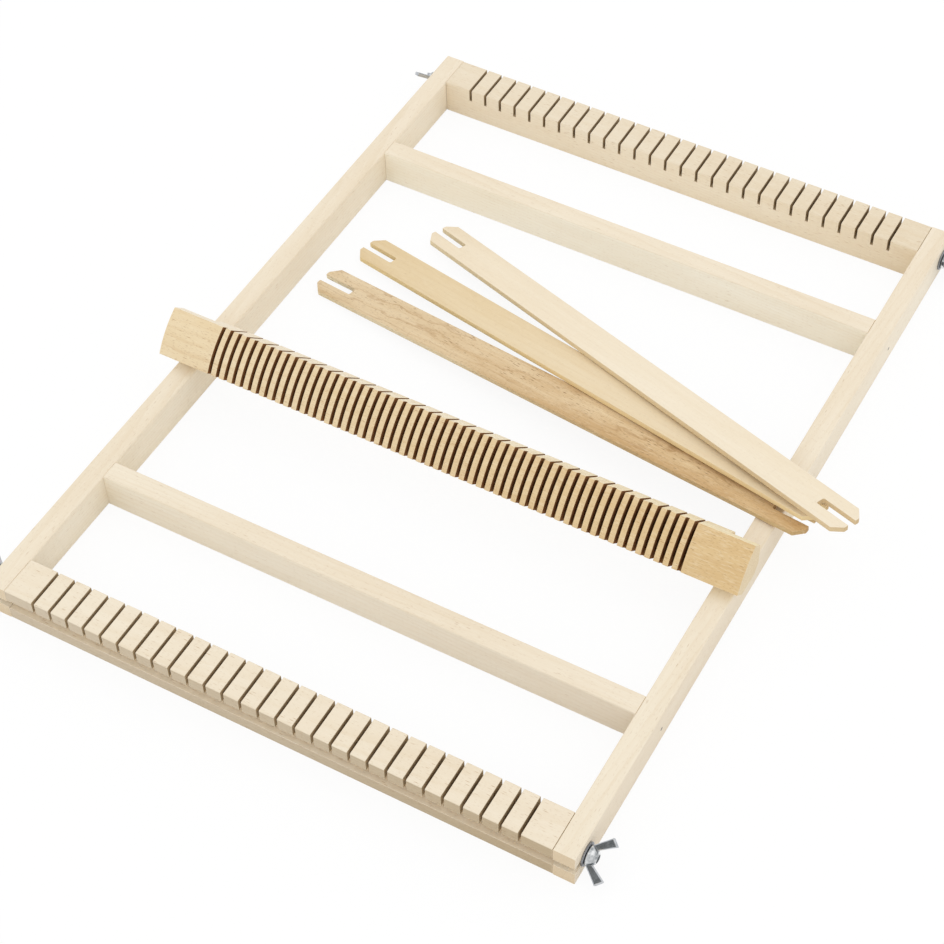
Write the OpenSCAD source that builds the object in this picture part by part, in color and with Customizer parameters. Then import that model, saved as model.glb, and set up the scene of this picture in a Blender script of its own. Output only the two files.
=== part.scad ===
// School weaving frame: a flat frame with two slotted beams that turn in it,
// a comb bar that is turned over on the rails to change the shed,
// and three stick shuttles lying on the right-hand rail.
// X runs across the frame, Y along it to the back, Z up from the table.

/* [Frame] */
// Width over the two side rails
frame_w = 400; // [300:10:600]
// Length of the side rails
frame_l = 556; // [480:2:700]
// Height of rails, crossbars and beams
frame_h = 26.5; // [25:0.5:32]
// Thickness of a side rail
rail_t = 14; // [12:0.5:18]
// Thickness of a crossbar
cross_t = 14; // [10:0.5:18]
// Distance from the middle of the frame to the middle of a crossbar
cross_y = 170.5; // [140:0.5:190]
// Planed bevel along the long edges
edge = 0.6; // [0.3:0.1:1.2]

/* [Slotted beams] */
// Depth of a beam along the frame
beam_d = 27; // [25:0.5:32]
// Play between a beam's end and the rail beside it
beam_play = 0.3; // [0.2:0.1:0.8]
// Number of thread slots in a beam
slot_count = 28; // [10:1:28]
// Distance from one thread slot to the next
slot_pitch = 12.24; // [9:0.02:12.4]
// Width of a thread slot
slot_w = 2; // [1:0.1:3]
// Height of the teeth between the slots
tooth_h = 9.5; // [6:0.5:9.5]
// Height of the groove in the outer face, under the teeth
groove_h = 7.5; // [4:0.5:8]
// Depth of the groove in the outer face
groove_d = 8.5; // [3:0.5:9]

/* [Comb bar] */
// Width of the front face of the bar
comb_face = 32; // [28:0.5:36]
// Thickness of the bar behind its front face
comb_t = 23.5; // [22:0.5:28]
// Length of the bar over its two ends
comb_l = 414; // [402:1:500]
// Length of the thick middle between the rails
comb_mid_l = 369; // [345:1:371]
// Shift of the bar's ends and kerfs to the left of the thick middle
comb_shift = 3; // [0:0.5:3]
// Place of the bar's turning axis in front of the middle of the frame
comb_y = 51.7; // [40:0.1:100]
// Legs of the seat bevels on the bar's ends
seat_leg = 12; // [9:0.5:13]
// Bevel on the back edges of the thick middle
comb_edge = 1.5; // [0.8:0.1:2.5]
// Width of a saw kerf
kerf_w = 2; // [1:0.1:2.4]
// Wood left behind a kerf at its deep end
kerf_land = 0.5; // [0.3:0.1:1.5]
// Depth of a kerf at its shallow end
kerf_shallow = 3; // [1:0.5:6]

/* [Studs and wing nuts] */
// Diameter of the studs
stud_dia = 5; // [4:0.5:6]
// Length of a stud inside its beam
stud_in = 25; // [12:1:40]
// Play around a stud in the open slot of the rail
rail_slot_play = 0.3; // [0.2:0.05:0.6]
// Outer diameter of a washer
washer_dia = 15; // [11:0.5:18]
// Thickness of a washer
washer_t = 1.2; // [0.8:0.1:2]
// Diameter over the tips of a wing nut
wing_span = 29; // [20:0.2:30]
// Height of a wing nut to the tips of its wings
wing_h = 14.2; // [10:0.2:16]
// Height of the hub of a wing nut
hub_h = 6; // [5:0.5:9]
// Diameter of the hub at its foot
hub_dia = 12; // [10:0.5:14]
// Diameter of the hub at its top
hub_top = 8; // [7.5:0.5:11.5]
// Rounding of the hub's shoulder
hub_round = 2.4; // [0.5:0.1:3]
// Thickness of a wing
wing_t = 2.4; // [1.2:0.1:3]
// Width of a wing across its slanted tip
wing_w = 5.8; // [4:0.2:7]
// Rounding of the corners of a wing
wing_r = 0.6; // [0.3:0.1:1]

/* [Wing nuts at rest] */
// Turn of the front left wing nut from lying flat
front_left_turn = 35; // [-90:1:90]
// Turn of the front right wing nut from lying flat
front_right_turn = 34; // [-90:1:90]
// Turn of the back left wing nut from lying flat
back_left_turn = -38; // [-90:1:90]
// Turn of the back right wing nut from lying flat
back_right_turn = -20; // [-90:1:90]

/* [Crossbar nails] */
// Diameter of a nail's shank
nail_dia = 1.8; // [1.2:0.1:2.5]
// Diameter of a nail's head
nail_head = 2.6; // [2.6:0.1:4]
// Thickness of a nail's head
nail_head_t = 0.8; // [0.5:0.1:1.2]
// Length of a nail
nail_l = 40; // [30:1:50]
// Height of the nails over the table
nail_z = 11.5; // [8:0.5:16]

/* [Shuttles] */
// Length of a shuttle
shuttle_l = 398; // [360:1:420]
// Width of a shuttle
shuttle_w = 25.4; // [20:0.2:27]
// Thickness of a shuttle
shuttle_t = 4; // [3:0.5:6]
// Depth of the notch in each end
notch_l = 26.5; // [15:0.5:40]
// Width of the notch in each end
notch_w = 6.2; // [4.2:0.2:8]
// Rounding of the inner corners of a notch
notch_r = 1; // [0.5:0.1:2]
// Length of the sloped corners of the prongs
prong_slope_l = 6.4; // [4:0.2:16]
// Width of the sloped corners of the prongs
prong_slope_w = 5.4; // [3:0.2:6]
// Rounding of the prong tips
prong_r = 1.6; // [0.8:0.1:2]

/* [Shuttles at rest] */
// Left end of the lower shuttle, to the left of the middle of the frame
lower_left = 171.5; // [160:0.5:174]
// Left end of the lower shuttle, behind the middle of the frame
lower_back = 55.3; // [52:0.1:58]
// Left end of the middle shuttle, to the left of the middle of the frame
middle_left = 161; // [155:0.5:168]
// Left end of the middle shuttle, behind the middle of the frame
middle_back = 95.6; // [93:0.1:98]
// Left end of the upper shuttle, to the left of the middle of the frame
upper_left = 124; // [118:0.5:130]
// Left end of the upper shuttle, behind the middle of the frame
upper_back = 132.1; // [129:0.1:135]
// Air that the middle shuttle's roll makes over the lower shuttle at the rail
middle_lift = 1.6; // [1.5:0.1:3]
// Air that the upper shuttle's roll makes over the middle shuttle at the rail
upper_lift = 2.1; // [2:0.1:3]

/* [Clearances] */
// Gap between pieces that lie or turn on each other
rest_gap = 0.1; // [0.05:0.05:0.3]
// Gap around a stud in its beam and in its wing nut
stud_fit = 0.05; // [0.02:0.01:0.08]
// Gap around a stud in its washer
washer_fit = 0.15; // [0.1:0.05:0.3]
// Gap under a shuttle that lies on a rail or on another shuttle
shuttle_gap = 0.3; // [0.2:0.05:0.6]

/* [Hidden] */
$fn = 48;

inner_w = frame_w - 2 * rail_t;
stud_y = frame_l / 2 - beam_d / 2;
stud_z = frame_h / 2;
rail_slot_r = stud_dia / 2 + rail_slot_play;
tooth_z = frame_h - tooth_h;
nut_base = rest_gap + washer_t + rest_gap;
stud_recess = 0.5;
stud_out = rail_t + nut_base + hub_h - stud_recess;
stud_tip = 0.6;
hub_foot = 1.2;
corner_r = 0.5;
cut = 1;

// Local frame of the comb bar: Y up its tilted front face, Z out of that face
comb_tilt = 45;
comb_kerfs = 2 * slot_count;
kerf_pitch = slot_pitch / 2;
seat_face = comb_t - seat_leg;
comb_axis_z = frame_h + rest_gap + (comb_face / 2 - seat_leg) * sin(comb_tilt);

// Rest places of the loose shuttles: how far the left end lies across and along the frame,
// heading, roll, and the height over the rail of the wood that each one lies on
lower_rest = [-lower_left, lower_back, -9, 0.3, 0];
middle_rest = [-middle_left, middle_back, -13.9, -4, shuttle_t + middle_lift];
upper_rest = [-upper_left, upper_back, -20.8, -6, 2 * shuttle_t + middle_lift + upper_lift];

// Sections and placing

module planed_section(w, h) {
    polygon([
        [edge - w / 2, 0], [w / 2 - edge, 0], [w / 2, edge], [w / 2, h - edge],
        [w / 2 - edge, h], [edge - w / 2, h], [-w / 2, h - edge], [-w / 2, edge]
    ]);
}

module along_y(length) {
    rotate([90, 0, 0]) linear_extrude(height = length, center = true) children();
}

module along_x(length) {
    rotate([90, 0, 90]) linear_extrude(height = length, center = true) children();
}

// Puts a fastener on its stud axis, with its own Z pointing out of the rail's outer face
module at_corner(side, end) {
    translate([side * frame_w / 2, end * stud_y, stud_z]) rotate([0, side * 90, 0]) children();
}

module at_nail(side, end) {
    translate([side * frame_w / 2, end * cross_y, nail_z]) rotate([0, side * 90, 0]) children();
}

// Frame

module side_rail(side) {
    color("wheat")
    difference() {
        translate([side * (frame_w - rail_t) / 2, 0, 0]) along_y(frame_l) planed_section(rail_t, frame_h);
        for (end = [-1, 1]) {
            at_corner(side, end) rail_slot(end);
            at_nail(side, end) nail_hole();
        }
    }
}

// Open slot in a rail's end, round at its inner end and concentric with the stud
module rail_slot(end) {
    translate([0, 0, -rail_t - cut]) {
        cylinder(h = rail_t + 2 * cut, r = rail_slot_r);
        translate([-rail_slot_r, end < 0 ? -beam_d / 2 - cut : 0, 0])
            cube([2 * rail_slot_r, beam_d / 2 + cut, rail_t + 2 * cut]);
    }
}

module left_rail() { side_rail(-1); }
module right_rail() { side_rail(1); }

module crossbar(end) {
    color("wheat")
    difference() {
        translate([0, end * cross_y, 0]) along_x(inner_w) planed_section(cross_t, frame_h);
        for (side = [-1, 1]) at_nail(side, end) nail_hole();
    }
}

module front_crossbar() { crossbar(-1); }
module back_crossbar() { crossbar(1); }

module nail_hole() {
    translate([0, 0, -nail_l]) cylinder(h = nail_l + cut, r = nail_dia / 2);
    translate([0, 0, -nail_head_t]) cylinder(h = nail_head_t + cut, r = nail_head / 2);
}

module nail() {
    color("gray") {
        translate([0, 0, -nail_l]) cylinder(h = nail_l - nail_head_t, r = nail_dia / 2);
        translate([0, 0, -nail_head_t]) cylinder(h = nail_head_t, r = nail_head / 2);
    }
}

module front_left_nail() { at_nail(-1, -1) nail(); }
module front_right_nail() { at_nail(1, -1) nail(); }
module back_left_nail() { at_nail(-1, 1) nail(); }
module back_right_nail() { at_nail(1, 1) nail(); }

// Slotted beams

module slotted_beam(end) {
    color("burlywood")
    difference() {
        translate([0, end * stud_y, 0]) along_x(inner_w - 2 * beam_play) planed_section(beam_d, frame_h);
        thread_groove(end);
        for (i = [0 : slot_count - 1]) thread_slot((i - (slot_count - 1) / 2) * slot_pitch, end);
        for (side = [-1, 1]) at_corner(side, end) stud_bore();
    }
}

module thread_groove(end) {
    translate([-inner_w / 2, end * (frame_l / 2 - groove_d / 2 + cut / 2), tooth_z - groove_h / 2])
        translate([0, -(groove_d + cut) / 2, -groove_h / 2])
        cube([inner_w, groove_d + cut, groove_h]);
}

module thread_slot(x, end) {
    translate([x - slot_w / 2, end * stud_y - beam_d / 2 - cut, tooth_z])
        cube([slot_w, beam_d + 2 * cut, tooth_h + cut]);
}

module stud_bore() {
    translate([0, 0, -rail_t - stud_in - cut]) cylinder(h = stud_in + 2 * cut, r = stud_dia / 2 + stud_fit);
}

module front_beam() { slotted_beam(-1); }
module back_beam() { slotted_beam(1); }

// Studs, washers and wing nuts

module stud() {
    color("silver")
    translate([0, 0, -rail_t - stud_in])
    rotate_extrude()
    polygon([
        [0, 0], [stud_dia / 2 - stud_tip, 0], [stud_dia / 2, stud_tip],
        [stud_dia / 2, stud_in + stud_out - stud_tip],
        [stud_dia / 2 - stud_tip, stud_in + stud_out], [0, stud_in + stud_out]
    ]);
}

module washer() {
    color("silver")
    difference() {
        translate([0, 0, rest_gap]) cylinder(h = washer_t, r = washer_dia / 2);
        translate([0, 0, rest_gap - cut]) cylinder(h = washer_t + 2 * cut, r = stud_dia / 2 + washer_fit);
    }
}

module wing_nut(turn) {
    color("slategray")
    translate([0, 0, nut_base])
    difference() {
        union() {
            rotate_extrude() hub_section();
            rotate([0, 0, turn]) for (half = [0, 180]) rotate([0, 0, half]) wing();
        }
        translate([0, 0, -cut]) cylinder(h = hub_h + 2 * cut, r = stud_dia / 2 + stud_fit);
    }
}

module hub_section() {
    polygon(concat(
        [[0, 0], [hub_dia / 2, 0], [hub_dia / 2, hub_foot]],
        [for (a = [0 : 15 : 90])
            [hub_top / 2 - hub_round * (1 - cos(a)), hub_h - hub_round * (1 - sin(a))]],
        [[0, hub_h]]
    ));
}

// One blade, rising from the foot of the hub to a slanted tip
module wing() {
    slant = wing_w * sin(45);
    root = hub_top / 2 - wing_r;
    rotate([90, 0, 90]) linear_extrude(height = wing_t, center = true)
    hull() {
        translate([root, wing_r]) circle(r = wing_r, $fn = 16);
        translate([hub_top / 2, hub_h - hub_round]) circle(r = wing_r, $fn = 16);
        translate([hub_dia / 2 - wing_r, hub_foot]) circle(r = wing_r, $fn = 16);
        translate([wing_span / 2 - wing_r, wing_h - slant]) circle(r = wing_r, $fn = 16);
        translate([wing_span / 2 - slant, wing_h - wing_r]) circle(r = wing_r, $fn = 16);
    }
}

module front_left_stud() { at_corner(-1, -1) stud(); }
module front_right_stud() { at_corner(1, -1) stud(); }
module back_left_stud() { at_corner(-1, 1) stud(); }
module back_right_stud() { at_corner(1, 1) stud(); }

module front_left_washer() { at_corner(-1, -1) washer(); }
module front_right_washer() { at_corner(1, -1) washer(); }
module back_left_washer() { at_corner(-1, 1) washer(); }
module back_right_washer() { at_corner(1, 1) washer(); }

module front_left_wing_nut() { at_corner(-1, -1) wing_nut(-front_left_turn); }
module front_right_wing_nut() { at_corner(1, -1) wing_nut(front_right_turn); }
module back_left_wing_nut() { at_corner(-1, 1) wing_nut(-back_left_turn); }
module back_right_wing_nut() { at_corner(1, 1) wing_nut(back_right_turn); }

// Comb bar, in its own frame with its turning axis on the middle of its back face

module comb_end_section() {
    polygon([
        [-comb_face / 2, comb_t], [-comb_face / 2, comb_t - seat_face],
        [seat_leg - comb_face / 2, 0], [comb_face / 2 - seat_leg, 0],
        [comb_face / 2, comb_t - seat_face], [comb_face / 2, comb_t]
    ]);
}

module comb_mid_section() {
    polygon([
        [-comb_face / 2, comb_t], [-comb_face / 2, comb_edge],
        [comb_edge - comb_face / 2, 0], [comb_face / 2 - comb_edge, 0],
        [comb_face / 2, comb_edge], [comb_face / 2, comb_t]
    ]);
}

// What one saw cut takes away: deep at the lower edge (side = -1) or at the upper edge (side = 1)
module kerf(side) {
    reach = 2 * comb_face;
    shallow = [-side * comb_face / 2, comb_t - kerf_shallow];
    deep = [side * comb_face / 2, kerf_land];
    over = cut * (shallow - deep) / norm(shallow - deep);
    along_x(kerf_w)
    polygon([
        shallow + over, shallow + over + [0, reach], deep - over + [side * reach, reach], deep - over
    ]);
}

module comb_bar() {
    color("tan")
    translate([-comb_shift, -comb_y, comb_axis_z]) rotate([comb_tilt, 0, 0])
    difference() {
        union() {
            along_x(comb_l) comb_end_section();
            translate([comb_shift, 0, 0]) along_x(comb_mid_l) comb_mid_section();
        }
        for (i = [0 : comb_kerfs - 1])
            translate([(i - (comb_kerfs - 1) / 2) * kerf_pitch, 0, 0]) kerf(i % 2 == 0 ? -1 : 1);
    }
}

// Shuttles

// Half of a shuttle's outline, with its forked end at the left
module forked_half() {
    translate([-shuttle_l / 2, 0])
    difference() {
        hull() for (side = [-1, 1]) {
            translate([prong_r, side * (shuttle_w / 2 - prong_slope_w - prong_r)]) circle(r = prong_r);
            translate([prong_slope_l, side * (shuttle_w / 2 - corner_r)]) circle(r = corner_r);
            translate([shuttle_l / 2, side * (shuttle_w / 2 - corner_r)]) circle(r = corner_r);
        }
        hull() {
            translate([-cut, -notch_w / 2]) square([cut, notch_w]);
            for (side = [-1, 1])
                translate([notch_l - notch_r, side * (notch_w / 2 - notch_r)]) circle(r = notch_r);
        }
    }
}

module shuttle(rest) {
    roll = rest[3];
    left_z = abs(sin(roll)) * shuttle_w / 2;
    run = (inner_w / 2 - rest[0]) / cos(rest[2]);
    pitch = atan((frame_h + shuttle_gap + rest[4] - left_z) / run);
    translate([rest[0], rest[1], left_z]) rotate([roll, -pitch, rest[2]])
    translate([shuttle_l / 2, 0, 0]) linear_extrude(height = shuttle_t) {
        forked_half();
        mirror([1, 0]) forked_half();
    }
}

module lower_shuttle() { color("peru") shuttle(lower_rest); }
module middle_shuttle() { color("burlywood") shuttle(middle_rest); }
module upper_shuttle() { color("wheat") shuttle(upper_rest); }

left_rail();
right_rail();
front_crossbar();
back_crossbar();
front_left_nail();
front_right_nail();
back_left_nail();
back_right_nail();
front_beam();
back_beam();
front_left_stud();
front_right_stud();
back_left_stud();
back_right_stud();
front_left_washer();
front_right_washer();
back_left_washer();
back_right_washer();
front_left_wing_nut();
front_right_wing_nut();
back_left_wing_nut();
back_right_wing_nut();
comb_bar();
lower_shuttle();
middle_shuttle();
upper_shuttle();
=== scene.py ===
import math

import bpy
from mathutils import Euler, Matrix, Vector


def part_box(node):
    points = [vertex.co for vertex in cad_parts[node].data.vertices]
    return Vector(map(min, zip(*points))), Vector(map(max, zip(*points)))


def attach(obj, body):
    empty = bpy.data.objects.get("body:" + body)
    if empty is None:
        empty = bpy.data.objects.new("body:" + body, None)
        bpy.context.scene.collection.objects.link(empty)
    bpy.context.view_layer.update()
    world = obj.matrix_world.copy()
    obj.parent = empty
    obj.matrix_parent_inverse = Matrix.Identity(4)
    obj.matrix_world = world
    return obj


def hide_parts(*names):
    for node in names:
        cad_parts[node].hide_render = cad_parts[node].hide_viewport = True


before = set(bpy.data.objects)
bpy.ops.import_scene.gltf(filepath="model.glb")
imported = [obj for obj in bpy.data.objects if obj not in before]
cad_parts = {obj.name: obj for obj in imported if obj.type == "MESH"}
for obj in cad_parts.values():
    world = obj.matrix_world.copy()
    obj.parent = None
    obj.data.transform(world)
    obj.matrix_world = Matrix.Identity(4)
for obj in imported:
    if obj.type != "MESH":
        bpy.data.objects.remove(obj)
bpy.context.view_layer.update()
print("frame loaded:", len(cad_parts), "nodes")


# Camera of the photograph, fitted to the corners of the frame

photoCamera = {
    "place": (0.47643, -0.82706, 1.09247),
    "turn": (40.7362, -0.1504, 28.1523),
    "lens": 84.6386,
    "sensor": 36,
    "shift": (-0.08494, -0.03603),
}

bpy.ops.object.camera_add(location=photoCamera["place"],
                          rotation=[math.radians(a) for a in photoCamera["turn"]])
camera = bpy.context.object
camera.name = "photoCamera"
camera.data.lens = photoCamera["lens"]
camera.data.sensor_width = photoCamera["sensor"]
camera.data.shift_x, camera.data.shift_y = photoCamera["shift"]
bpy.context.scene.camera = camera


# Small tools for meshes

meshWork = {
    "mergeWithin": 0.000002,   # metres
    "planeWithin": 0.000001,
    "onFaceWithin": 0.00002,
    "threadMerge": 0.00001,
    "sideways": 0.9,           # cosine
    "flatWithin": 0.5,         # degrees
    "bevelFrom": 30,
    "smoothUnder": 16,
}


def makeActive(piece):
    bpy.ops.object.select_all(action="DESELECT")
    piece.select_set(True)
    bpy.context.view_layer.objects.active = piece


def giveMaterials(piece, *materials):
    piece.data.materials.clear()
    for material in materials:
        piece.data.materials.append(material)
    for face in piece.data.polygons:
        face.material_index = 0


def copyOfNode(nodeName, pieceName, *materials):
    piece = bpy.data.objects.new(pieceName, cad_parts[nodeName].data.copy())
    bpy.context.scene.collection.objects.link(piece)
    giveMaterials(piece, *materials)
    makeActive(piece)
    bpy.ops.mesh.customdata_custom_splitnormals_clear()
    bpy.ops.object.mode_set(mode="EDIT")
    bpy.ops.mesh.select_all(action="SELECT")
    bpy.ops.mesh.remove_doubles(threshold=meshWork["mergeWithin"])
    bpy.ops.mesh.dissolve_limited(angle_limit=math.radians(meshWork["flatWithin"]))
    bpy.ops.object.mode_set(mode="OBJECT")
    return piece


def bevelEdges(piece, width, segments, angle=meshWork["bevelFrom"]):
    makeActive(piece)
    bpy.ops.object.modifier_add(type="BEVEL")
    bevel = piece.modifiers[-1]
    bevel.width = width
    bevel.segments = segments
    bevel.limit_method = "ANGLE"
    bevel.angle_limit = math.radians(angle)
    bevel.miter_outer = "MITER_ARC"
    bpy.ops.object.modifier_apply(modifier=bevel.name)
    bpy.ops.object.shade_smooth_by_angle(angle=math.radians(meshWork["smoothUnder"]))


def finishPiece(piece, body, nodeName):
    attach(piece, body)
    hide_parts(nodeName)


# Small tools for materials

def newMaterial(name):
    material = bpy.data.materials.new(name)
    material.use_nodes = True
    material.node_tree.nodes.clear()
    return material, material.node_tree


def addNode(tree, kind, settings=None, inputs=None):
    node = tree.nodes.new(kind)
    for key, value in (settings or {}).items():
        setattr(node, key, value)
    for key, value in (inputs or {}).items():
        if isinstance(value, bpy.types.NodeSocket):
            tree.links.new(value, node.inputs[key])
        else:
            node.inputs[key].default_value = value
    return node


def calc(tree, operation, first, second=None, third=None, clamp=False):
    inputs = {0: first}
    if second is not None:
        inputs[1] = second
    if third is not None:
        inputs[2] = third
    settings = {"operation": operation, "use_clamp": clamp}
    return addNode(tree, "ShaderNodeMath", settings, inputs).outputs[0]


def mixTones(tree, amount, first, second, blend="MIX"):
    node = addNode(tree, "ShaderNodeMix", {"data_type": "RGBA", "blend_type": blend})
    for key, value in ((0, amount), (6, first), (7, second)):
        if isinstance(value, bpy.types.NodeSocket):
            tree.links.new(value, node.inputs[key])
        else:
            node.inputs[key].default_value = value
    return node.outputs[2]


def stretched(tree, vector, scale, shift):
    return addNode(tree, "ShaderNodeMapping", {"vector_type": "POINT"},
                   {"Vector": vector, "Location": shift, "Scale": scale}).outputs[0]


def noise(tree, vector, scale, shift, detail=3.0, roughness=0.5):
    return addNode(tree, "ShaderNodeTexNoise", None, {
        "Vector": stretched(tree, vector, scale, shift), "Scale": 1.0,
        "Detail": detail, "Roughness": roughness}).outputs[0]


def between(tree, value, low, high, toLow=0.0, toHigh=1.0):
    return addNode(tree, "ShaderNodeMapRange", {"clamp": True}, {
        "Value": value, "From Min": low, "From Max": high,
        "To Min": toLow, "To Max": toHigh}).outputs[0]


def edgeWear(tree, radius, untouched, rubbed):
    rounded = addNode(tree, "ShaderNodeBevel", {"samples": 4}, {"Radius": radius})
    surface = addNode(tree, "ShaderNodeNewGeometry")
    same = addNode(tree, "ShaderNodeVectorMath", {"operation": "DOT_PRODUCT"},
                   {0: rounded.outputs[0], 1: surface.outputs["Normal"]}).outputs["Value"]
    return between(tree, same, untouched, rubbed)


# a colour written as in a picture, 0 to 255, made linear
def tone(red, green, blue):
    def linear(c):
        c = c / 255
        return c / 12.92 if c <= 0.04045 else ((c + 0.055) / 1.055) ** 2.4
    return (linear(red), linear(green), linear(blue), 1.0)


# All the woods are one graph with different settings. Its coordinates are in millimetres, in
# the piece's own frame, with X along the grain.

# where each noise or angle begins and ends to count, some with the amounts at those two ends
woodLimits = {
    "fade": (0.35, 0.65, 0.25, 1.0), "patch": (0.32, 0.68), "fibre": (0.3, 0.7),
    "silk": (0.5, 0.75), "group": (0.42, 0.6), "fleckFade": 0.03, "fleckCore": 0.35,
    "side": (0.75, 0.35), "end": (0.6, 0.9), "endPores": (0.35, 0.65, 0.0, 0.35),
    "edge": (0.985, 0.85), "wear": (0.3, 0.6, 0.35, 1.0),
}
# how much end grain, fibres, rings and wear add to colour, roughness and height
woodShares = {
    "end": 0.75, "endRings": 0.5, "fibreRough": 0.1, "endRough": 0.15, "wornRough": -0.12,
    "ringHeight": 0.35, "fibreHeight": 0.5,
}


def woodFinish(name, look):
    material, tree = newMaterial(name)
    turn = Euler([math.radians(a) for a in look["turn"]])
    along = turn.to_matrix() @ Vector((1, 0, 0))
    place = addNode(tree, "ShaderNodeTexCoord")
    local = addNode(tree, "ShaderNodeMapping", {"vector_type": "TEXTURE"}, {
        "Vector": place.outputs["Object"], "Location": look["middle"],
        "Rotation": turn[:], "Scale": (0.001, 0.001, 0.001)}).outputs[0]
    shift = [look["seed"] * step for step in (13.7, 5.3, 9.1)]

    def moved(distance):
        return [s + distance for s in shift]

    split = addNode(tree, "ShaderNodeSeparateXYZ", None, {0: local})
    x, y, z = split.outputs

    # growth rings round a pith that lies outside the stick and runs a little askew to it
    wander = noise(tree, local, look["wanderScale"], shift, 2.0, 0.5)
    ripple = noise(tree, local, look["rippleScale"], shift, 3.0, 0.55)
    wander = calc(tree, "MULTIPLY", calc(tree, "SUBTRACT", wander, 0.5), look["wander"])
    ripple = calc(tree, "MULTIPLY", calc(tree, "SUBTRACT", ripple, 0.5), look["ripple"])
    ringY = calc(tree, "ADD", calc(tree, "MULTIPLY_ADD", x, look["askew"][0], y), wander)
    ringY = calc(tree, "SUBTRACT", ringY, look["pith"][0])
    ringZ = calc(tree, "MULTIPLY_ADD", x, look["askew"][1], z)
    ringZ = calc(tree, "SUBTRACT", calc(tree, "ADD", ringZ, ripple), look["pith"][1])
    radius = calc(tree, "SQRT", calc(tree, "ADD", calc(tree, "MULTIPLY", ringY, ringY),
                                     calc(tree, "MULTIPLY", ringZ, ringZ)))
    ring = calc(tree, "FRACT", calc(tree, "DIVIDE", radius, look["ringPitch"]))
    late = addNode(tree, "ShaderNodeValToRGB", None, {0: ring})
    late.color_ramp.elements[0].color = (0, 0, 0, 1)
    late.color_ramp.elements[1].color = (0.1, 0.1, 0.1, 1)
    for spot, value in look["lateWood"]:
        late.color_ramp.elements.new(spot).color = (value, value, value, 1)
    fade = noise(tree, local, look["fadeScale"], moved(40), 2.0)
    late = calc(tree, "MULTIPLY", late.outputs[0], between(tree, fade, *woodLimits["fade"]))

    # broad patches, fine fibres and the short pores of beech
    patch = noise(tree, local, look["patchScale"], moved(11), 3.0, 0.5)
    fibre = noise(tree, local, look["fibreScale"], moved(23), 4.0, 0.62)
    silk = noise(tree, local, look["silkScale"], moved(57), 2.0, 0.5)
    patchAmount = between(tree, patch, *woodLimits["patch"])
    fibreAmount = between(tree, fibre, *woodLimits["fibre"])

    def flecks(scale, size, share, distance):
        cells = addNode(tree, "ShaderNodeTexVoronoi", {"feature": "F1"}, {
            "Vector": stretched(tree, local, scale, moved(distance)), "Scale": 1.0})
        draw = addNode(tree, "ShaderNodeSeparateXYZ", None, {0: cells.outputs["Color"]}).outputs[0]
        chosen = between(tree, draw, 1.0 - share, 1.0 - share + woodLimits["fleckFade"])
        spot = between(tree, cells.outputs["Distance"], size, size * woodLimits["fleckCore"])
        return calc(tree, "MULTIPLY", spot, chosen)

    pores = flecks(look["poreScale"], look["poreSize"], look["poreShare"], 71)
    dashes = flecks(look["dashScale"], look["dashSize"], look["dashShare"], 91)
    group = noise(tree, local, look["groupScale"], moved(31), 2.0)
    groups = between(tree, group, *woodLimits["group"])
    dashes = calc(tree, "MULTIPLY", dashes, groups)

    # the tone drifts from one end of the stick to the other
    slope = between(tree, x, look["ends"][0], look["ends"][1])
    base = mixTones(tree, slope, tone(*look["startTone"]), tone(*look["endTone"]))
    deep = mixTones(tree, slope, tone(*look["startDeep"]), tone(*look["endDeep"]))
    colour = mixTones(tree, calc(tree, "MULTIPLY", patchAmount, look["patch"]), base, deep)
    ringTone, poreTone = tone(*look["ringTone"]), tone(*look["poreTone"])
    layers = [(late, "rings", ringTone), (fibreAmount, "fibre", deep),
              (between(tree, silk, *woodLimits["silk"]), "silk", tone(*look["silkTone"])),
              (pores, "pores", poreTone), (dashes, "dashes", poreTone)]
    for amount, strength, layerTone in layers:
        colour = mixTones(tree, calc(tree, "MULTIPLY", amount, look[strength]), colour, layerTone)

    # painted light and shade: the narrow sides of the stick are tinted lighter or darker, changing
    # from one end to the other, as light falls on them
    if look["sideLightShade"]:
        across = turn.to_matrix() @ Vector((0, 0, 1))
        upward = addNode(tree, "ShaderNodeVectorMath", {"operation": "DOT_PRODUCT"},
                         {0: place.outputs["Normal"], 1: across[:]}).outputs["Value"]
        side = between(tree, calc(tree, "ABSOLUTE", upward), *woodLimits["side"])
        sideLightShadeTint = mixTones(tree, slope, (*look["sideLightShade"], 1), (*look["sideLightShadeEnd"], 1))
        colour = mixTones(tree, side, colour, sideLightShadeTint, "MULTIPLY")

    # sawn ends drink more light and show the rings more
    facing = addNode(tree, "ShaderNodeVectorMath", {"operation": "DOT_PRODUCT"},
                     {0: place.outputs["Normal"], 1: along[:]}).outputs["Value"]
    endGrain = between(tree, calc(tree, "ABSOLUTE", facing), *woodLimits["end"])
    endTone = mixTones(tree, calc(tree, "MULTIPLY", late, woodShares["endRings"]),
                       tone(*look["endGrain"]), ringTone)
    endTone = mixTones(tree, between(tree, fibre, *woodLimits["endPores"]), endTone, poreTone)
    colour = mixTones(tree, calc(tree, "MULTIPLY", endGrain, woodShares["end"]), colour, endTone)

    # edges that hands have rubbed smooth and a little paler
    worn = edgeWear(tree, look["edgeRadius"], *woodLimits["edge"])
    worn = calc(tree, "MULTIPLY", worn, between(tree, silk, *woodLimits["wear"]))
    wornAmount = calc(tree, "MULTIPLY", worn, look["wear"])
    colour = mixTones(tree, wornAmount, colour, tone(*look["wearTone"]))

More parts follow.
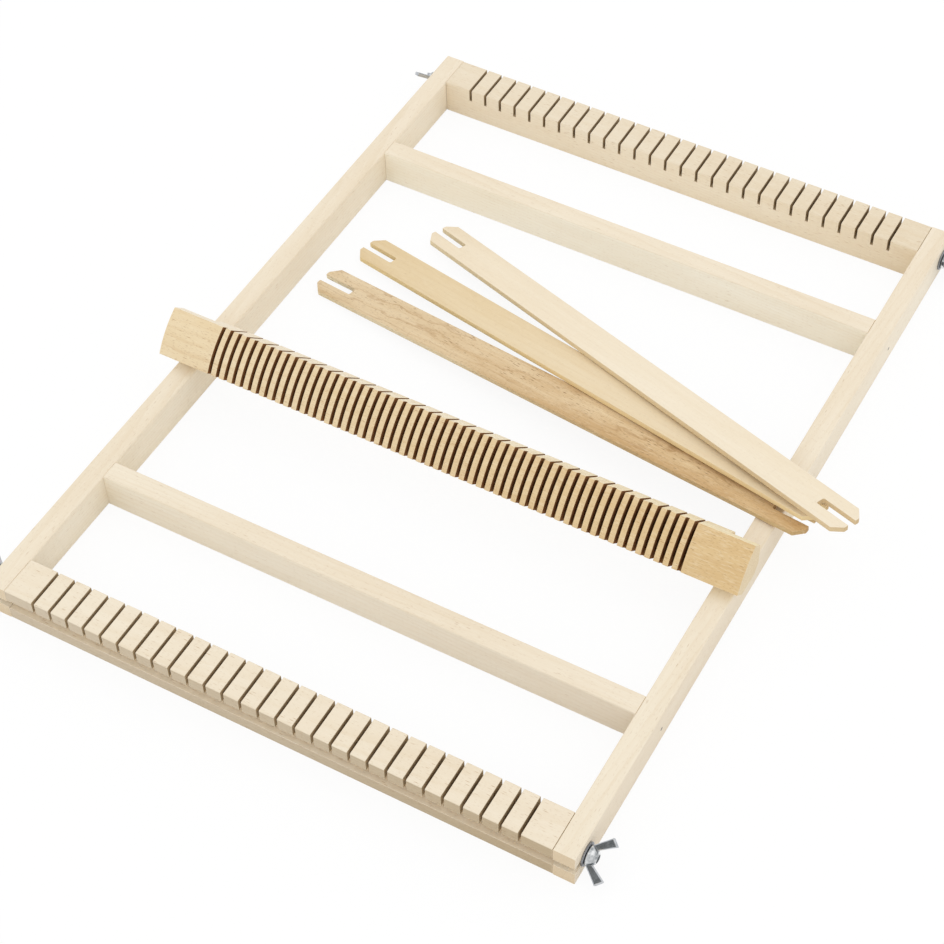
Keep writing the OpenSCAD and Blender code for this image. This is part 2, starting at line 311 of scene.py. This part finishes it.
    rough = calc(tree, "MULTIPLY_ADD", fibreAmount, woodShares["fibreRough"], look["rough"])
    rough = calc(tree, "MULTIPLY_ADD", endGrain, woodShares["endRough"], rough)
    rough = calc(tree, "MULTIPLY_ADD", worn, woodShares["wornRough"], rough, clamp=True)
    height = calc(tree, "MULTIPLY", late, woodShares["ringHeight"])
    height = calc(tree, "MULTIPLY_ADD", fibreAmount, woodShares["fibreHeight"], height)
    height = calc(tree, "SUBTRACT", height, calc(tree, "MAXIMUM", pores, dashes))
    bump = addNode(tree, "ShaderNodeBump", None, {
        "Strength": look["bump"], "Distance": look["relief"], "Height": height})
    shader = addNode(tree, "ShaderNodeBsdfPrincipled", None, {
        "Base Color": colour, "Roughness": rough, "Normal": bump.outputs[0],
        "IOR": look["ior"], "Specular IOR Level": look["gloss"]})
    out = addNode(tree, "ShaderNodeOutputMaterial")
    tree.links.new(shader.outputs[0], out.inputs[0])
    return material


paleBeech = {
    "turn": (0, 0, 0), "middle": (0, 0, 0), "seed": 1, "ends": (-190, 190),
    "startTone": (243, 232, 211), "endTone": (242, 230, 209),
    "startDeep": (236, 221, 196), "endDeep": (234, 218, 192),
    "patch": 0.8, "rings": 0.28, "ringTone": (222, 200, 165), "ringPitch": 2.6,
    "pith": (34, -60), "askew": (0.02, 0.03), "wander": 9.0, "ripple": 2.2,
    "rippleScale": (0.03, 0.12, 0.12),
    "fibre": 0.35, "silk": 0.25, "silkTone": (247, 238, 219),
    "pores": 0.35, "poreShare": 0.4, "dashes": 0.5, "dashShare": 0.3, "poreTone": (186, 152, 112),
    "endGrain": (222, 201, 166), "wear": 0.35, "wearTone": (249, 241, 224),
    # the two side tints below are painted light and shade on the narrow sides
    "sideLightShade": (1.04, 1.07, 1.11), "sideLightShadeEnd": (1.04, 1.07, 1.11),
    "lateWood": ((0.55, 0.15), (0.88, 1.0), (0.96, 0.75)),
    "wanderScale": (0.006, 0.02, 0.02), "fadeScale": (0.012, 0.05, 0.05),
    "patchScale": (0.009, 0.06, 0.06), "fibreScale": (0.035, 1.6, 1.6),
    "silkScale": (0.16, 0.9, 0.9), "poreScale": (0.30, 2.2, 2.2), "poreSize": 0.30,
    "dashScale": (0.13, 0.95, 0.95), "dashSize": 0.26,
    "groupScale": (0.02, 0.09, 0.09), "edgeRadius": 0.0007,
    "rough": 0.5, "bump": 0.35, "relief": 0.00012, "ior": 1.45, "gloss": 0.3,
}
beamBeech = dict(paleBeech, dashes=0.7, dashShare=0.55, pores=0.4)
tanBeech = dict(paleBeech, **{
    "startTone": (242, 225, 192), "endTone": (231, 204, 156),
    "startDeep": (234, 212, 172), "endDeep": (217, 184, 132),
    "ringTone": (205, 168, 117), "silkTone": (246, 230, 198), "poreTone": (168, 122, 74),
    "pores": 0.55, "poreShare": 0.75, "dashes": 0.7, "dashShare": 0.6, "fibre": 0.5, "silk": 0.4,
    "endGrain": (232, 216, 184), "wearTone": (245, 228, 194), "rings": 0.35, "patch": 0.9,
    # painted light: the comb's narrow sides are tinted lighter, most at the far end
    "sideLightShade": (1.02, 1.1, 1.31), "sideLightShadeEnd": (1.18, 1.4, 1.78),
})
brownWood = dict(paleBeech, **{
    "startTone": (247, 233, 205), "endTone": (238, 212, 166),
    "startDeep": (218, 192, 151), "endDeep": (198, 157, 102),
    "ringTone": (168, 126, 80), "silkTone": (233, 211, 175), "poreTone": (140, 98, 58),
    "rings": 0.75, "ringPitch": 2.4, "pith": (14, -60),
    "wander": 16.0, "ripple": 7.0, "rippleScale": (0.03, 0.1, 0.1),
    "lateWood": ((0.74, 0.05), (0.92, 1.0), (0.97, 0.5)), "patch": 1.0,
    "fibre": 0.75, "silk": 0.4, "pores": 0.6, "poreShare": 0.7,
    "dashes": 1.0, "dashShare": 0.8,
    "endGrain": (186, 150, 102), "wear": 0.3, "wearTone": (222, 196, 156),
    # painted light: the lower shuttle's narrow sides are tinted lighter
    "sideLightShade": (1.1, 1.22, 1.35), "sideLightShadeEnd": (0.97, 1.05, 1.08),
})
tanWood = dict(paleBeech, **{
    "startTone": (233, 213, 176), "endTone": (239, 223, 194),
    "startDeep": (226, 202, 159), "endDeep": (231, 209, 171),
    "ringTone": (208, 178, 130), "silkTone": (240, 224, 194), "poreTone": (176, 138, 92),
    "rings": 0.14, "pores": 0.25, "dashes": 0.2,
    "endGrain": (196, 164, 116), "wearTone": (236, 216, 180),
    # painted light: the middle shuttle's narrow sides are tinted a little lighter
    "sideLightShade": (1.06, 1.06, 0.94), "sideLightShadeEnd": (1.1, 1.1, 0.96),
})
creamWood = dict(paleBeech, **{
    "startTone": (243, 230, 206), "endTone": (245, 233, 211),
    "startDeep": (238, 222, 195), "endDeep": (239, 224, 197),
    "ringTone": (223, 200, 165), "rings": 0.12, "pores": 0.2, "dashes": 0.2,
    # painted shade: the upper shuttle's narrow sides are tinted darker
    "endGrain": (204, 178, 134), "sideLightShade": (0.9, 0.88, 0.77), "sideLightShadeEnd": (0.83, 0.74, 0.58),
})
# the walls of saw cuts: raw, rubbed brown by the blade, and darker again as painted shade for
# narrow cuts that light hardly reaches
sawnShadedBeech = dict(paleBeech, **{
    "startTone": (196, 178, 146), "endTone": (192, 172, 140),
    "startDeep": (180, 160, 126), "endDeep": (176, 155, 120),
    "endGrain": (186, 166, 132), "ringTone": (170, 140, 104), "silkTone": (222, 200, 170),
    "poreTone": (150, 118, 84), "wear": 0.2, "wearTone": (222, 200, 168), "rough": 0.75,
    "sideLightShade": None,
})
# the comb's cuts are browner still: partly raw sawn wood, partly painted shade in the deep kerfs
sawnShadedTan = dict(sawnShadedBeech, **{
    "startTone": (176, 137, 88), "endTone": (166, 124, 74),
    "startDeep": (154, 114, 68), "endDeep": (142, 100, 54),
    "endGrain": (156, 106, 60), "ringTone": (112, 70, 36), "silkTone": (184, 134, 84),
    "poreTone": (96, 56, 26), "wearTone": (196, 152, 102),
})


# the look of a wood on one piece, centred on it, with that piece's own changes
def ofPiece(look, nodeName, changes):
    low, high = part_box(nodeName)
    own = {key: changes[key] for key in changes if key in look}
    return dict(look, middle=tuple((low + high) / 2), **own)


print("materials ready")


# Planed sticks of the frame, their long edges softened as a plane and sandpaper leave them

frameSoftening = 0.0003
# side tints: painted light and shade on the upright faces, the right rail's darker at one end and
# lighter at the other, the crossbars' mostly lighter
frameSticks = {
    "left_rail": {"name": "leftRail", "turn": (0, 0, 90), "seed": 3, "pith": (22, -70)},
    "right_rail": {"name": "rightRail", "turn": (0, 0, 90), "seed": 8, "pith": (-40, -55),
                   "sideLightShade": (0.93, 0.92, 0.92), "sideLightShadeEnd": (1.03, 1.06, 1.1)},
    "front_crossbar": {"name": "frontCrossbar", "turn": (0, 0, 0), "seed": 5, "pith": (48, -42),
                       "sideLightShade": (1.07, 1.11, 1.16), "sideLightShadeEnd": (0.98, 1.0, 1.04)},
    "back_crossbar": {"name": "backCrossbar", "turn": (0, 0, 0), "seed": 14, "pith": (-30, -66),
                      "sideLightShade": (1.09, 1.15, 1.22), "sideLightShadeEnd": (1.09, 1.15, 1.22)},
}

for nodeName, stick in frameSticks.items():
    wood = woodFinish(stick["name"] + "Wood", ofPiece(paleBeech, nodeName, stick))
    piece = copyOfNode(nodeName, stick["name"], wood)
    bevelEdges(piece, frameSoftening, 2)
    finishPiece(piece, "frame", nodeName)
print("rails and crossbars done")


# Slotted beams. Cut faces lie between the ends of the bar and look along it, or are the
# floors of the cuts.

beamWork = {
    "cutReach": 0.175, "floorBelow": 0.005, "floorArea": 0.0001, "floorFacing": 0.995,
    "endFit": 0.00015, "softening": 0.00025,
}
# side tints: painted shade on the front beam's upright faces, painted light on the back beam's
slottedBeams = {
    "front_beam": {"name": "frontBeam", "seed": 21, "pith": (18, -58),
                   "sideLightShade": (0.74, 0.71, 0.67), "sideLightShadeEnd": (0.60, 0.54, 0.44)},
    "back_beam": {"name": "backBeam", "seed": 27, "pith": (-26, -64),
                  "startTone": (236, 223, 200), "endTone": (235, 222, 198),
                  "startDeep": (229, 212, 184), "endDeep": (227, 209, 180),
                  "sideLightShade": (1.05, 1.06, 1.08), "sideLightShadeEnd": (1.05, 1.05, 1.05)},
}


# saw cuts take the second material, whose darker tone is partly painted shade
def paintCuts(piece, floors):
    top = piece.bound_box[1][2]
    for face in piece.data.polygons:
        sideways = abs(face.normal.x) > meshWork["sideways"]
        wall = sideways and abs(face.center.x) < beamWork["cutReach"]
        floor = any(face.normal.dot(Vector(one)) > beamWork["floorFacing"] for one in floors)
        deep = face.center.z < top - beamWork["floorBelow"]
        if wall or (floor and deep and face.area < beamWork["floorArea"]):
            face.material_index = 1


for nodeName, beam in slottedBeams.items():
    wood = woodFinish(beam["name"] + "Wood", ofPiece(beamBeech, nodeName, beam))
    shadedCutWood = woodFinish(beam["name"] + "Cuts", ofPiece(sawnShadedBeech, nodeName, {"seed": beam["seed"]}))
    piece = copyOfNode(nodeName, beam["name"], wood, shadedCutWood)
    paintCuts(piece, [(0, 0, 1)])
    # the ends reach a little into the gap at the rails, which hardly shows in the photo
    for vertex in piece.data.vertices:
        if abs(vertex.co.x) > beamWork["cutReach"]:
            vertex.co.x += math.copysign(beamWork["endFit"], vertex.co.x)
    bevelEdges(piece, beamWork["softening"], 2)
    finishPiece(piece, nodeName, nodeName)
print("beams done")


# Comb bar

combBar = {
    "name": "combBar", "turn": (45, 0, 0), "seed": 33, "pith": (30, -70), "softening": 0.0002,
    "cutFloors": [(0, -0.9732, 0.2298), (0, -0.2298, 0.9732)],
    "frontHalf": 0.016, "crown": 0.0022, "crownSteps": 10,
    "mouth": 0.0002, "runOut": 0.0003,
}


# The front face is planed to a slight crown, which bends the lines of the kerfs. The warp has
# rubbed their mouths a little wider there, and they narrow where they run out over the edges.
def crownFront(piece, bar):
    low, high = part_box("comb_bar")
    slant = math.sqrt(0.5)
    upFace, outFace = Vector((0, slant, slant)), Vector((0, -slant, slant))
    topEdge = Vector((0, low.y + slant * 2 * bar["frontHalf"], high.z))
    frontMiddle = topEdge - bar["frontHalf"] * upFace
    makeActive(piece)
    bpy.ops.object.mode_set(mode="EDIT")
    for step in range(1, bar["crownSteps"]):
        height = bar["frontHalf"] * (2 * step / bar["crownSteps"] - 1)
        bpy.ops.mesh.select_all(action="SELECT")
        bpy.ops.mesh.bisect(plane_co=frontMiddle + height * upFace, plane_no=upFace,
                            threshold=meshWork["planeWithin"])
    bpy.ops.object.mode_set(mode="OBJECT")
    retreat = {}
    for face in piece.data.polygons:
        if face.material_index == 1 and abs(face.normal.x) > meshWork["sideways"]:
            for index in face.vertices:
                retreat[index] = -math.copysign(bar["mouth"], face.normal.x)
    for vertex in piece.data.vertices:
        offset = vertex.co - frontMiddle
        if abs(offset.dot(outFace)) < meshWork["onFaceWithin"]:
            share = offset.dot(upFace) / bar["frontHalf"]
            vertex.co += bar["crown"] * max(0, 1 - share * share) * outFace
            vertex.co.x += retreat.get(vertex.index, 0)
        elif abs(abs(offset.dot(upFace)) - bar["frontHalf"]) < meshWork["onFaceWithin"]:
            vertex.co.x -= retreat.get(vertex.index, 0) * bar["runOut"] / bar["mouth"]


cutLook = {"turn": combBar["turn"], "seed": combBar["seed"]}
wood = woodFinish("combBarWood", ofPiece(tanBeech, "comb_bar", combBar))
shadedCutWood = woodFinish("combBarCuts", ofPiece(sawnShadedTan, "comb_bar", cutLook))
piece = copyOfNode("comb_bar", combBar["name"], wood, shadedCutWood)
paintCuts(piece, combBar["cutFloors"])
crownFront(piece, combBar)
bevelEdges(piece, combBar["softening"], 2)
finishPiece(piece, "comb_bar", "comb_bar")
print("comb bar done")


# Shuttles, each of another wood; turn is how the stick lies, so that the grain runs along it

shuttleSoftening = 0.0005
shuttles = {
    "lower_shuttle": {"name": "lowerShuttle", "turn": (0.3, -4.2241, -9.0), "seed": 41,
                      "look": brownWood, "slot": "brown_wood"},
    "middle_shuttle": {"name": "middleShuttle", "turn": (-4.0, -5.0381, -13.9), "seed": 46,
                       "look": tanWood, "slot": "tan_wood"},
    "upper_shuttle": {"name": "upperShuttle", "turn": (-6.0, -6.3959, -20.8), "seed": 52,
                      "look": creamWood, "slot": "cream_wood"},
}

for nodeName, shuttle in shuttles.items():
    wood = woodFinish(shuttle["name"] + "Wood", ofPiece(shuttle["look"], nodeName, shuttle))
    piece = copyOfNode(nodeName, shuttle["name"], wood)
    bevelEdges(piece, shuttleSoftening, 3)
    finishPiece(piece, nodeName, nodeName)
print("shuttles done")


# Zinc on the studs, washers and wing nuts, bare steel on the nails

metalLimits = {
    "grit": (0.45, 0.7), "bloomAndGlints": (0.35, 0.65), "nook": (0.75, 0.25), "edge": (0.98, 0.8),
    "wornRough": -0.1,
}


def metalFinish(name, look):
    material, tree = newMaterial(name)
    place = addNode(tree, "ShaderNodeTexCoord")
    local = addNode(tree, "ShaderNodeMapping", {"vector_type": "POINT"}, {
        "Vector": place.outputs["Object"], "Scale": (1000, 1000, 1000)}).outputs[0]
    # broad blotches between the light and dark tones: plating bloom on the zinc, and on the hub
    # painted highlights and reflections
    bloomAndGlints = noise(tree, local, (look["bloomAndGlints"],) * 3, (3, 7, 1), 4.0, 0.6)
    grit = noise(tree, local, (look["gritScale"],) * 3, (1, 2, 3), 4.0, 0.7)
    gritAmount = calc(tree, "MULTIPLY", between(tree, grit, *metalLimits["grit"]), look["grit"])
    bloomAndGlintAmount = between(tree, bloomAndGlints, *metalLimits["bloomAndGlints"])
    colour = mixTones(tree, bloomAndGlintAmount, look["light"], look["dark"])
    colour = mixTones(tree, gritAmount, colour, look["spotAndShadeTone"])
    worn = edgeWear(tree, look["edgeRadius"], *metalLimits["edge"])
    colour = mixTones(tree, calc(tree, "MULTIPLY", worn, look["wear"]), colour, look["rubbed"])
    # painted shade: the nooks, where the AO node finds surfaces close by, are darkened towards the
    # spots tone
    nook = addNode(tree, "ShaderNodeAmbientOcclusion", {"samples": 8},
                   {"Distance": look["nookReach"]})
    paintedNookShade = between(tree, nook.outputs["AO"], *metalLimits["nook"], 0.0, look["paintedNookShade"])
    colour = mixTones(tree, paintedNookShade, colour, look["spotAndShadeTone"])
    rough = calc(tree, "MULTIPLY_ADD", grit, look["roughSpread"], look["rough"])
    rough = calc(tree, "MULTIPLY_ADD", worn, metalLimits["wornRough"], rough, clamp=True)
    bump = addNode(tree, "ShaderNodeBump", None, {
        "Strength": look["bump"], "Distance": look["relief"], "Height": grit})
    shader = addNode(tree, "ShaderNodeBsdfPrincipled", None, {
        "Base Color": colour, "Roughness": rough, "Normal": bump.outputs[0], "Metallic": 1.0})
    out = addNode(tree, "ShaderNodeOutputMaterial")
    tree.links.new(shader.outputs[0], out.inputs[0])
    return material


zincLook = {
    "light": (0.60, 0.62, 0.65, 1), "dark": (0.42, 0.44, 0.47, 1), "bloomAndGlints": 0.35,
    # the spots tone darkens both the grit flecks and, as painted shade, the nooks
    "grit": 0.4, "gritScale": 3.2, "spotAndShadeTone": (0.25, 0.26, 0.28, 1),
    "wear": 0.7, "rubbed": (0.85, 0.86, 0.87, 1), "edgeRadius": 0.0004,
    # how strongly the nooks are darkened with painted shade, and how far that reaches
    "paintedNookShade": 0.8, "nookReach": 0.003,
    "rough": 0.18, "roughSpread": 0.25, "bump": 0.3, "relief": 0.00008,
}
# the hub: near-white and dark grey blotches are painted highlights and reflections, and its nooks
# go near black with painted shade
hubGlintLook = dict(zincLook, **{
    "light": (0.97, 0.98, 0.98, 1), "dark": (0.26, 0.28, 0.29, 1), "bloomAndGlints": 0.2,
    "grit": 0.1, "spotAndShadeTone": (0.05, 0.055, 0.06, 1), "rough": 0.1, "roughSpread": 0.1,
})
# rough cast faces, darker than cast zinc is: partly a painted reflection of dark surroundings; the
# studs' cut ends take it as painted shade
castAndShadeLook = dict(zincLook, **{
    "light": (0.16, 0.17, 0.175, 1), "dark": (0.08, 0.088, 0.09, 1),
    "grit": 0.8, "spotAndShadeTone": (0.34, 0.36, 0.37, 1), "wear": 0.4, "rubbed": (0.7, 0.72, 0.73, 1),
    "paintedNookShade": 0.6, "rough": 0.38, "roughSpread": 0.3, "bump": 0.8,
})
# the washers are darker zinc: painted shade for the shadow they sit in under the nuts
shadedWasherLook = dict(zincLook, **{
    "light": (0.40, 0.41, 0.43, 1), "dark": (0.22, 0.23, 0.25, 1), "wear": 0.4, "rough": 0.3,
})
nailLook = dict(zincLook, **{
    "light": (0.30, 0.28, 0.26, 1), "dark": (0.16, 0.14, 0.13, 1),
    "grit": 0.6, "spotAndShadeTone": (0.08, 0.06, 0.05, 1), "wear": 0.5, "rubbed": (0.5, 0.48, 0.46, 1),
    "paintedNookShade": 0.5, "rough": 0.35, "roughSpread": 0.3, "bump": 0.5,
})
zinc = metalFinish("zinc", zincLook)
hubGlintZinc = metalFinish("hubGlintZinc", hubGlintLook)
castAndShadeGrey = metalFinish("castAndShadeGrey", castAndShadeLook)
washerZinc = metalFinish("washerZinc", shadedWasherLook)
nailSteel = metalFinish("nailSteel", nailLook)


# Wing nuts: a turned hub and two cast blades, each with a rim round a sunken rough face. Their
# numbers are millimetres: the hub's profile as radius and height, the blade's outline as
# distance from the axis and height.

wingNut = {
    "hub": [(2.6, 0.2), (2.8, 0.0), (5.75, 0.0), (6.0, 0.25), (6.0, 1.0), (5.85, 1.5),
            (5.6, 2.1), (5.3, 2.8), (5.0, 3.5), (4.65, 4.2), (4.25, 4.85), (3.8, 5.4),
            (3.3, 5.85), (2.8, 6.15), (2.6, 6.0)],
    "hubSteps": 64, "hubSmooth": 50,
    "blade": [(3.1, 0.2), (5.5, 0.3), (6.1, 0.85), (14.45, 10.05), (10.45, 14.2),
              (4.2, 4.3), (3.3, 3.6)],
    "bladeThick": 2.4, "tipAbove": 9, "rim": 0.55, "sunk": 0.3, "cornerRound": 0.6,
    "softening": 0.2, "softenFrom": 25,
    "turns": {"front_left": -35, "front_right": 34, "back_left": 38, "back_right": -20},
}


def mm(length):
    return 0.001 * length


def newPiece(name, points, edges=(), faces=()):
    mesh = bpy.data.meshes.new(name)
    mesh.from_pydata([tuple(mm(c) for c in point) for point in points], edges, faces)
    piece = bpy.data.objects.new(name, mesh)
    bpy.context.scene.collection.objects.link(piece)
    makeActive(piece)
    return piece


def makeHub():
    profile = wingNut["hub"]
    count = len(profile)
    ring = [(i, (i + 1) % count) for i in range(count)]
    hub = newPiece("hub", [(r, 0, z) for r, z in profile], edges=ring)
    bpy.ops.object.mode_set(mode="EDIT")
    bpy.ops.mesh.select_all(action="SELECT")
    bpy.ops.mesh.spin(steps=wingNut["hubSteps"], angle=2 * math.pi,
                      center=(0, 0, 0), axis=(0, 0, 1))
    bpy.ops.mesh.select_all(action="SELECT")
    bpy.ops.mesh.remove_doubles(threshold=meshWork["mergeWithin"])
    bpy.ops.mesh.normals_make_consistent(inside=False)
    bpy.ops.object.mode_set(mode="OBJECT")
    giveMaterials(hub, hubGlintZinc, zinc, castAndShadeGrey)
    bpy.ops.object.shade_smooth_by_angle(angle=math.radians(wingNut["hubSmooth"]))
    return hub


def makeBlade():
    outline = wingNut["blade"]
    thick = wingNut["bladeThick"]
    blade = newPiece("blade", [(-thick / 2, y, z) for y, z in outline],
                     faces=[tuple(range(len(outline)))])
    giveMaterials(blade, hubGlintZinc, zinc, castAndShadeGrey)
    bpy.ops.object.mode_set(mode="EDIT")
    bpy.ops.mesh.select_all(action="SELECT")
    bpy.ops.mesh.extrude_region_move(TRANSFORM_OT_translate={"value": (mm(thick), 0, 0)})
    bpy.ops.mesh.select_all(action="SELECT")
    bpy.ops.mesh.normals_make_consistent(inside=False)
    bpy.ops.mesh.select_all(action="DESELECT")
    bpy.ops.object.mode_set(mode="OBJECT")
    # the two corners of the tip
    for edge in blade.data.edges:
        first, second = (blade.data.vertices[i].co for i in edge.vertices)
        edge.select = abs(first.x - second.x) > mm(thick / 2) and first.z > mm(wingNut["tipAbove"])
    bpy.ops.object.mode_set(mode="EDIT")
    bpy.ops.mesh.select_mode(type="EDGE")
    bpy.ops.mesh.bevel(offset=mm(wingNut["cornerRound"]), segments=4)
    bpy.ops.mesh.select_all(action="DESELECT")
    bpy.ops.object.mode_set(mode="OBJECT")
    # rims of zinc, the second material, round sunken faces of cast metal, the third, whose dark
    # grey is partly a painted reflection of dark surroundings
    for face in blade.data.polygons:
        face.material_index = 1
        face.select = abs(face.normal.x) > meshWork["sideways"]
    bpy.ops.object.mode_set(mode="EDIT")
    bpy.ops.mesh.select_mode(type="FACE")
    bpy.ops.mesh.inset(thickness=mm(wingNut["rim"]), depth=-mm(wingNut["sunk"]),
                       use_individual=True)
    blade.active_material_index = 2
    bpy.ops.object.material_slot_assign()
    bpy.ops.object.mode_set(mode="OBJECT")
    bevelEdges(blade, mm(wingNut["softening"]), 2, wingNut["softenFrom"])
    return blade


def makeWingNutPattern():
    hub = makeHub()
    blade = makeBlade()
    other = bpy.data.objects.new("otherBlade", blade.data.copy())
    bpy.context.scene.collection.objects.link(other)
    makeActive(other)
    other.rotation_euler = (0, 0, math.pi)
    bpy.ops.object.transform_apply(location=True, rotation=True, scale=True)
    makeActive(hub)
    blade.select_set(True)
    other.select_set(True)
    bpy.ops.object.join()
    return hub


# the pattern stands on the washer side of its node's box, its axis pointing away from the rail
def makeWingNut(corner, pattern):
    nodeName = corner + "_wing_nut"
    low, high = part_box(nodeName)
    side = -1 if "left" in corner else 1
    piece = bpy.data.objects.new(nodeName.replace("_", "-"), pattern.data.copy())
    bpy.context.scene.collection.objects.link(piece)
    makeActive(piece)
    piece.rotation_euler = (0, 0, math.radians(wingNut["turns"][corner]))
    bpy.ops.object.transform_apply(location=True, rotation=True, scale=True)
    piece.rotation_euler = (0, side * math.pi / 2, 0)
    piece.location = (low.x if side > 0 else high.x, (low.y + high.y) / 2, (low.z + high.z) / 2)
    bpy.ops.object.transform_apply(location=True, rotation=True, scale=True)
    finishPiece(piece, nodeName, nodeName)


# Studs: a real thread, one profile wound up by Screw and cut to length

threadedStud = {
    "major": 0.0025, "pitch": 0.0008, "steps": 24, "smoothUnder": 40,
    "startTurns": 2, "spareTurns": 4, "endFacing": 0.99,
}


def makeStud(corner):
    nodeName = corner + "_stud"
    low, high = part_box(nodeName)
    length = high.x - low.x
    pitch = threadedStud["pitch"]
    start = threadedStud["startTurns"] * pitch
    bpy.ops.object.select_all(action="DESELECT")
    # three corners of a standing square are one turn of the thread's profile
    bpy.ops.mesh.primitive_circle_add(vertices=4, radius=pitch / 2, rotation=(math.pi / 2, 0, 0))
    piece = bpy.context.object
    piece.name = corner.replace("_", "-") + "-stud"
    bpy.ops.object.transform_apply(location=False, rotation=True, scale=True)
    bpy.ops.object.mode_set(mode="EDIT")
    bpy.ops.mesh.select_mode(type="VERT")
    bpy.ops.mesh.select_all(action="DESELECT")
    bpy.ops.object.mode_set(mode="OBJECT")
    for vertex in piece.data.vertices:
        vertex.select = vertex.co.x < -pitch / 4
    bpy.ops.object.mode_set(mode="EDIT")
    bpy.ops.mesh.delete(type="VERT")
    bpy.ops.mesh.select_all(action="SELECT")
    bpy.ops.transform.translate(value=(threadedStud["major"] - pitch / 2, 0, 0))
    bpy.ops.object.mode_set(mode="OBJECT")
    bpy.ops.object.modifier_add(type="SCREW")
    screw = piece.modifiers[-1]
    screw.axis = "Z"
    screw.screw_offset = pitch
    screw.iterations = math.ceil(length / pitch) + threadedStud["spareTurns"]
    screw.steps = screw.render_steps = threadedStud["steps"]
    screw.use_merge_vertices = True
    screw.merge_threshold = meshWork["threadMerge"]
    bpy.ops.object.modifier_apply(modifier=screw.name)
    bpy.ops.object.mode_set(mode="EDIT")
    bpy.ops.mesh.select_all(action="SELECT")
    bpy.ops.mesh.remove_doubles(threshold=meshWork["threadMerge"])
    bpy.ops.mesh.bisect(plane_co=(0, 0, start), plane_no=(0, 0, 1), use_fill=True,
                        clear_inner=True, threshold=meshWork["planeWithin"])
    bpy.ops.mesh.select_all(action="SELECT")
    bpy.ops.mesh.bisect(plane_co=(0, 0, start + length), plane_no=(0, 0, 1), use_fill=True,
                        clear_outer=True, threshold=meshWork["planeWithin"])
    bpy.ops.mesh.select_all(action="SELECT")
    bpy.ops.mesh.normals_make_consistent(inside=False)
    bpy.ops.object.mode_set(mode="OBJECT")
    piece.rotation_euler = (0, math.pi / 2, 0)
    middle = (low + high) / 2
    piece.location = (low.x - start, middle.y, middle.z)
    bpy.ops.object.transform_apply(location=True, rotation=True, scale=True)
    bpy.ops.object.shade_smooth_by_angle(angle=math.radians(threadedStud["smoothUnder"]))
    giveMaterials(piece, zinc, castAndShadeGrey)
    # painted shade: the cut ends take the dark cast grey, so that the stud's end reads as a shaded
    # hole
    for face in piece.data.polygons:
        if abs(face.normal.x) > threadedStud["endFacing"]:
            face.material_index = 1
    finishPiece(piece, corner.split("_")[0] + "_studs", nodeName)


smallSoftening = {"washer": 0.0002, "nail": 0.00022}


def makeWasher(corner):
    nodeName = corner + "_washer"
    piece = copyOfNode(nodeName, nodeName.replace("_", "-"), washerZinc)
    bevelEdges(piece, smallSoftening["washer"], 2)
    finishPiece(piece, nodeName, nodeName)


def makeNail(corner):
    nodeName = corner + "_nail"
    piece = copyOfNode(nodeName, nodeName.replace("_", "-"), nailSteel)
    bevelEdges(piece, smallSoftening["nail"], 3)
    finishPiece(piece, "frame", nodeName)


wingNutPattern = makeWingNutPattern()
for corner in wingNut["turns"]:
    makeStud(corner)
    makeWasher(corner)
    makeWingNut(corner, wingNutPattern)
    makeNail(corner)
bpy.data.objects.remove(wingNutPattern)
print("studs, washers, wing nuts and nails done")


# Floor, world and lamp

stage = {
    "floorSize": 30, "floorDrop": 0.00005, "floorTone": 0.95, "cameraShare": 0.9,
    "worldStrength": 1.0, "keyPower": 2.5, "keyPlace": (0.3, 0.9, 2.2), "keySize": 1.8,
}


# 1 where the camera looks, straight or through a shine, and 0 for light on its way
def seenRays(tree):
    rays = addNode(tree, "ShaderNodeLightPath")
    shine = calc(tree, "MAXIMUM", rays.outputs["Is Glossy Ray"],
                 rays.outputs["Is Transmission Ray"])
    return calc(tree, "MAXIMUM", rays.outputs["Is Camera Ray"], shine)


bpy.ops.object.select_all(action="DESELECT")
bpy.ops.mesh.primitive_plane_add(size=stage["floorSize"], location=(0, 0, -stage["floorDrop"]))
floor = bpy.context.object
floor.name = "floor"
floorMaterial, tree = newMaterial("paleFloor")
paper = addNode(tree, "ShaderNodeBsdfDiffuse")
glow = addNode(tree, "ShaderNodeEmission", None, {"Color": (1, 1, 1, 1), "Strength": 1.0})
seen = seenRays(tree)
share = calc(tree, "MULTIPLY", seen, stage["cameraShare"])
# the camera sees white paper, which sends the wood a little less light back than white would
shade = between(tree, seen, 0.0, 1.0, stage["floorTone"], 1.0)
paperTone = addNode(tree, "ShaderNodeCombineColor", None, {0: shade, 1: shade, 2: shade})
tree.links.new(paperTone.outputs[0], paper.inputs[0])
mixed = addNode(tree, "ShaderNodeMixShader", None,
                {0: share, 1: paper.outputs[0], 2: glow.outputs[0]})
out = addNode(tree, "ShaderNodeOutputMaterial")
tree.links.new(mixed.outputs[0], out.inputs[0])
floor.data.materials.append(floorMaterial)

world = bpy.data.worlds.new("paleStudio")
world.use_nodes = True
tree = world.node_tree
tree.nodes.clear()
strength = between(tree, seenRays(tree), 0.0, 1.0, stage["worldStrength"], 1.0)
sky = addNode(tree, "ShaderNodeBackground", None, {"Color": (1, 1, 1, 1), "Strength": strength})
out = addNode(tree, "ShaderNodeOutputWorld")
tree.links.new(sky.outputs[0], out.inputs[0])
bpy.context.scene.world = world


bpy.ops.object.light_add(type="AREA", location=stage["keyPlace"])
lamp = bpy.context.object
lamp.name = "keyLamp"
lamp.data.shape = "SQUARE"
lamp.data.size = stage["keySize"]
lamp.data.energy = stage["keyPower"]
lamp.rotation_euler = (-Vector(stage["keyPlace"])).to_track_quat("-Z", "Y").to_euler()

bpy.context.scene.view_settings.view_transform = "Standard"
print("floor, world and lamp done")
